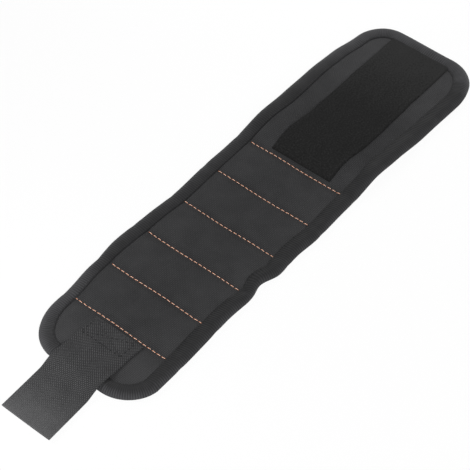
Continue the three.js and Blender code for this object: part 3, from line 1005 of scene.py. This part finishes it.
class WRISTBAND_OT_strap(bpy.types.Operator):
    """Webbing strap sewn on the heel with a boxed cross, over the binding and down to its free tail"""
    bl_idname = "wristband.strap"
    bl_label = "Strap"

    THICK = 1.4
    HALF_WIDTH = 19.2
    # Extra rows this close to an end round it off.
    NEAR_END = np.array((0.15, 0.5))
    # The sewn box: its ends along the band and its sides across it.
    BOX = ((-135.5, -122.4), (-17.0, 14.4))

    def execute(self, context):
        settings = context.scene.wristband
        material = webbing(settings)
        start, end = TIP_X, SEAM[0] - 2.5
        x = stations(start, end, 1.1)
        x = np.unique(np.concatenate([x, start + self.NEAR_END, end - self.NEAR_END]))
        across, up = (side[:, None] for side in self.section().T)
        squeeze = rounded(np.minimum(x - start, end - x), 0.6)
        y = strap_centre(x) + across
        thick = (self.THICK / 2 + up * squeeze) * self.thin(x, across)
        z = strap_floor(x) + thick + strap_cup(x, across)
        points = np.stack(np.broadcast_arrays(x, y, z), -1)
        # Seen from above the pattern runs with the place across the strap.
        obj = shaped_grid("strap", points, x, across)
        with edit_mode(obj):
            bpy.ops.mesh.remove_doubles(threshold=0.01 * MM)
            bpy.ops.mesh.normals_make_consistent(inside=False)
        hang(obj, 0, material, "webbing", "root")
        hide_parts("strap_tail", "strap_root")
        black = thread("black_strap_thread", "strap_thread")
        ends = self.boxed_cross(settings.stitch_length)
        row = stitches("strap_stitches", ends, radius=0.3, sink=0.25, steps=4)
        hang(row, 0, black, "webbing")
        return {"FINISHED"}

    def section(self):
        """A flat section with round edges, closed on itself: places across the strap and over its middle."""
        w, t = self.HALF_WIDTH, self.THICK / 2
        flat = np.linspace(-w + t, w - t, 36)
        turn = np.radians(np.linspace(-90, 90, 7)[1:-1])
        right = [(w - t + t * math.cos(a), t * math.sin(a)) for a in turn]
        left = [(-w + t - t * math.cos(a), -t * math.sin(a)) for a in turn]
        loop = [(s, -t) for s in flat] + right + [(s, t) for s in flat[::-1]] + left
        return np.array(loop + loop[:1])

    @staticmethod
    def thin(x, across):
        """Share of the thickness that is left where the upper edge is sewn flat on the heel."""
        return 1 - 0.6 * rise(across, 6, 19) * rise(x, -158, -148)

    def boxed_cross(self, pitch):
        """Stitches of the box and the cross that hold the strap on the heel."""
        (low, high), (down, up) = self.BOX
        lines = [((low, down), (low, up)), ((high, down), (high, up)), ((low, down), (high, down)),
                 ((low, up), (high, up)), ((low, down), (high, up)), ((low, up), (high, down))]
        ends = []
        for a, b in lines:
            a, b = np.array(a), np.array(b)
            count = int(np.linalg.norm(b - a) // pitch)
            for i in range(count):
                spots = []
                for t in (i / count, (i + 0.75) / count):
                    px, py = a + (b - a) * t
                    thick = self.THICK * float(self.thin(px, py - strap_centre(px)))
                    spots.append((px, py, float(strap_floor(px)) + thick + 0.08))
                ends.append(spots)
        return ends


class WRISTBAND_OT_hook(bpy.types.Operator):
    """Hook patch under the strap's tail: a moulded base with rows of small hooks"""
    bl_idname = "wristband.hook"
    bl_label = "Hook patch"

    # Thickness of the base, spacing of the hooks across and along the strap, and half a stem's width.
    BASE = 0.5
    ROW_STEP, HOOK_STEP = 1.6, 1.25
    STEM = 0.11

    def execute(self, context):
        material = hook_tape()
        low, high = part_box("hook_patch")
        centre, size = (low + high) / 2, high - low
        base = self.BASE * MM
        bpy.ops.object.select_all(action="DESELECT")
        bpy.ops.mesh.primitive_cube_add(size=1, location=(centre.x, centre.y, high.z - base / 2))
        obj = bpy.context.object
        obj.name = obj.data.name = "hook_patch_base"
        bpy.ops.transform.resize(value=(size.x, size.y, base))
        bpy.ops.object.transform_apply(location=True, rotation=True, scale=True)
        with edit_mode(obj):
            bpy.ops.uv.cube_project(cube_size=1.0)
            bpy.ops.mesh.subdivide(number_cuts=10)
        hooks = self.hooks(low / MM, high / MM)
        for piece in (obj, hooks):
            self.follow(piece, high.z / MM)
            dress(piece, material)
            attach(piece, "strap_tail")
            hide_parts("hook_patch")
        return {"FINISHED"}

    @staticmethod
    def follow(obj, top):
        """Moves a flat piece with its upper face at top so that it lies along the strap's underside."""
        co = np.zeros(len(obj.data.vertices) * 3)
        obj.data.vertices.foreach_get("co", co)
        x, y = co[0::3] / MM, co[1::3] / MM
        co[2::3] += (strap_floor(x) + strap_cup(x, y - strap_centre(x)) - top) * MM
        obj.data.vertices.foreach_set("co", co)
        obj.data.update()

    def hooks(self, low, high):
        """Small bent stems in rows, each hooked over to one side."""
        points, faces = [], []
        root, tip = high.z - self.BASE, low.z + 0.08
        spine = ((0, root), (0, (root + tip) / 2), (0.22, tip + 0.1), (0.5, tip), (0.68, tip + 0.22))
        corners = [(px * self.STEM, py * self.STEM) for px, py in ((-1, -1), (1, -1), (1, 1), (-1, 1))]
        for i, y in enumerate(np.arange(low.y + 1, high.y - 0.9, self.ROW_STEP)):
            way = 1 if i % 2 else -1
            for x in np.arange(low.x + 1, high.x - 0.9, self.HOOK_STEP):
                base = len(points)
                for dx, z in spine:
                    for px, py in corners:
                        points.append((x + way * dx + px, y + py, z))
                for s in range(len(spine) - 1):
                    for j in range(4):
                        a, b = base + 4 * s, base + 4 * s + 4
                        faces.append((a + j, a + (j + 1) % 4, b + (j + 1) % 4, b + j))
                faces.append(tuple(base + 4 * (len(spine) - 1) + j for j in range(4)))
                faces.append(tuple(base + j for j in (3, 2, 1, 0)))
        obj = add_object("hook_patch_hooks", points, faces)
        layer = obj.data.uv_layers.new(name="UVMap")
        for loop in obj.data.loops:
            co = obj.data.vertices[loop.vertex_index].co
            layer.data[loop.index].uv = (co.x, co.y)
        with edit_mode(obj):
            bpy.ops.mesh.normals_make_consistent(inside=False)
        return obj


class WRISTBAND_OT_magnets(bpy.types.Operator):
    """Nickel finish for the bar magnets inside the pockets"""
    bl_idname = "wristband.magnets"
    bl_label = "Magnets"

    def execute(self, context):
        material = magnet_nickel()
        for name, obj in frame["nodes"].items():
            if "magnet" in name:
                obj.data.materials.clear()
                obj.data.materials.append(material)
        return {"FINISHED"}


class WRISTBAND_OT_stage(bpy.types.Operator):
    """White paper, soft lamps and a camera at the photograph's angle"""
    bl_idname = "wristband.stage"
    bl_label = "Stage"

    # Where the camera looks, a little above the underside.
    AIM = (-16.76, -7.07, 3.3)

    def execute(self, context):
        settings = context.scene.wristband
        scene = context.scene
        bpy.ops.object.select_all(action="DESELECT")
        bpy.ops.mesh.primitive_plane_add(size=6, location=(0, 0, -0.0003))
        floor = bpy.context.object
        floor.name = "paper"
        floor.data.materials.append(stage_paper(settings))
        lamps = [self.lamp("key", (-0.65, -0.85, 0.88), (0, 0, 0), 0.8, settings.key_watts),
                 self.lamp("strap_end", (-0.27, 0.13, 0.15), (-0.2, 0, 0), 0.1, settings.strap_watts),
                 self.lamp("far_end", (0.3, 0.16, 0.28), (0.18, 0, 0), 0.2, settings.far_watts)]
        self.sky(scene, settings)
        camera = self.camera(settings)
        scene.camera = camera
        scene.view_settings.view_transform = "Standard"
        return {"FINISHED"}

    @staticmethod
    def lamp(name, place, aim, size, watts):
        """A square soft lamp turned to a place on the band."""
        bpy.ops.object.light_add(type="AREA", location=place)
        obj = bpy.context.object
        obj.name = name
        obj.data.size, obj.data.energy = size, watts
        obj.rotation_euler = (Vector(aim) - Vector(place)).to_track_quat("-Z", "Y").to_euler()
        return obj

    @staticmethod
    def sky(scene, settings):
        """Plain white to the camera and to mirrors, an even grey light to everything else."""
        world = bpy.data.worlds.new("plain_white")
        scene.world = world
        world.use_nodes = True
        tree = world.node_tree
        tree.nodes.clear()
        seen = seen_directly(tree, node(tree, "LightPath").outputs)
        soft, white = (node(tree, "Background", {"Color": (1, 1, 1, 1), "Strength": strength})
                       for strength in (settings.sky_strength, 1.0))
        node(tree, "OutputWorld", {"Surface": node(tree, "MixShader", {0: seen, 1: soft, 2: white})})

    def camera(self, settings):
        """The photograph's view: a long lens from the strap's side, looking down at half a right angle."""
        azimuth, elevation = math.radians(settings.azimuth), math.radians(settings.elevation)
        level = math.cos(elevation)
        back = Vector((math.sin(azimuth) * level, -math.cos(azimuth) * level, math.sin(elevation)))
        target = Vector(self.AIM) * MM
        bpy.ops.object.camera_add(location=target + back * settings.distance)
        obj = bpy.context.object
        obj.rotation_euler = (-back).to_track_quat("-Z", "Y").to_euler()
        obj.data.sensor_width, obj.data.lens = 36, settings.lens
        obj.data.dof.use_dof = False
        return obj


class WristbandSettings(bpy.types.PropertyGroup):
    """Measures of the cloths, threads and stage, in millimetres unless a unit says otherwise"""
    weave_pitch: FloatProperty(
        name="Weave pitch", description="Spacing of the panel's yarns in mm", default=1.1, min=0.2)
    strap_pitch: FloatProperty(
        name="Strap yarn", description="Spacing of the strap's yarns in mm", default=0.85, min=0.2)
    tape_rib: FloatProperty(
        name="Tape rib", description="Spacing of the tape's ribs in mm", default=1.6, min=0.2)
    seam_stitch: FloatProperty(
        name="Seam stitch", description="From stitch to stitch on an orange seam in mm", default=3.74, min=1)
    stitch_length: FloatProperty(
        name="Black stitch", description="From stitch to stitch elsewhere in mm", default=3.0, min=1)
    thread_width: FloatProperty(
        name="Thread width", description="Of the orange thread in mm", default=0.49, min=0.2)
    grid_step: FloatProperty(
        name="Grid step", description="Mesh spacing of the cloths in mm", default=0.8, min=0.3)
    key_watts: FloatProperty(
        name="Key lamp", description="Power of the front lamp", default=14.7, unit="POWER")
    strap_watts: FloatProperty(
        name="Strap lamp", description="Power of the small lamp by the strap", default=0.28, unit="POWER")
    far_watts: FloatProperty(
        name="Far lamp", description="Power of the small lamp by the far end", default=0.58, unit="POWER")
    sky_strength: FloatProperty(
        name="Sky", description="Strength of the even light", default=0.2, min=0)
    see_through: FloatProperty(
        name="See-through", description="Share of the view that the paper lets by", default=0.94,
        min=0, max=1, subtype="FACTOR")
    azimuth: FloatProperty(
        name="Azimuth", description="Camera's turn about the upright in degrees", default=-50.3)
    elevation: FloatProperty(
        name="Elevation", description="Camera's height angle in degrees", default=49.13)
    distance: FloatProperty(
        name="Distance", description="Camera to band", default=1.0586, unit="LENGTH")
    lens: FloatProperty(
        name="Lens", description="Focal length in mm", default=128.0)


class WristbandColours(bpy.types.PropertyGroup):
    """Tones of each finish, from its hollows to its crowns"""
    __annotations__ = {
        f"{finish}_{i}": FloatVectorProperty(
            name=f"{finish.replace('_', ' ').capitalize()} {i}",
            description="Counted from the hollows to the crowns",
            default=linear(tone), size=4, min=0, max=1, subtype="COLOR")
        for finish, hexes in TONES.items() for i, tone in enumerate(hexes, 1)}


class WRISTBAND_PT_panel(bpy.types.Panel):
    """Buttons and measures in the sidebar"""
    bl_idname = "WRISTBAND_PT_panel"
    bl_label = "Wristband"
    bl_space_type = "VIEW_3D"
    bl_region_type = "UI"
    bl_category = "Wristband"

    def draw(self, context):
        for operator in OPERATORS:
            self.layout.operator(operator.bl_idname)
        for group in (context.scene.wristband, context.scene.wristband_colours):
            for key in type(group).__annotations__:
                self.layout.prop(group, key)


OPERATORS = (WRISTBAND_OT_panel, WRISTBAND_OT_lining, WRISTBAND_OT_binding, WRISTBAND_OT_seams,
             WRISTBAND_OT_patch, WRISTBAND_OT_strap, WRISTBAND_OT_hook, WRISTBAND_OT_magnets,
             WRISTBAND_OT_stage)
CLASSES = (WristbandSettings, WristbandColours) + OPERATORS + (WRISTBAND_PT_panel,)


def register():
    for cls in CLASSES:
        bpy.utils.register_class(cls)
    bpy.types.Scene.wristband = PointerProperty(type=WristbandSettings)
    bpy.types.Scene.wristband_colours = PointerProperty(type=WristbandColours)


def unregister():
    del bpy.types.Scene.wristband, bpy.types.Scene.wristband_colours
    for cls in reversed(CLASSES):
        bpy.utils.unregister_class(cls)


def main():
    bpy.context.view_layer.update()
    register()
    bpy.ops.wristband.panel()
    bpy.ops.wristband.lining()
    bpy.ops.wristband.binding()
    bpy.ops.wristband.seams()
    bpy.ops.wristband.patch()
    bpy.ops.wristband.strap()
    bpy.ops.wristband.hook()
    bpy.ops.wristband.magnets()
    bpy.ops.wristband.stage()


if __name__ == "__main__":
    main()
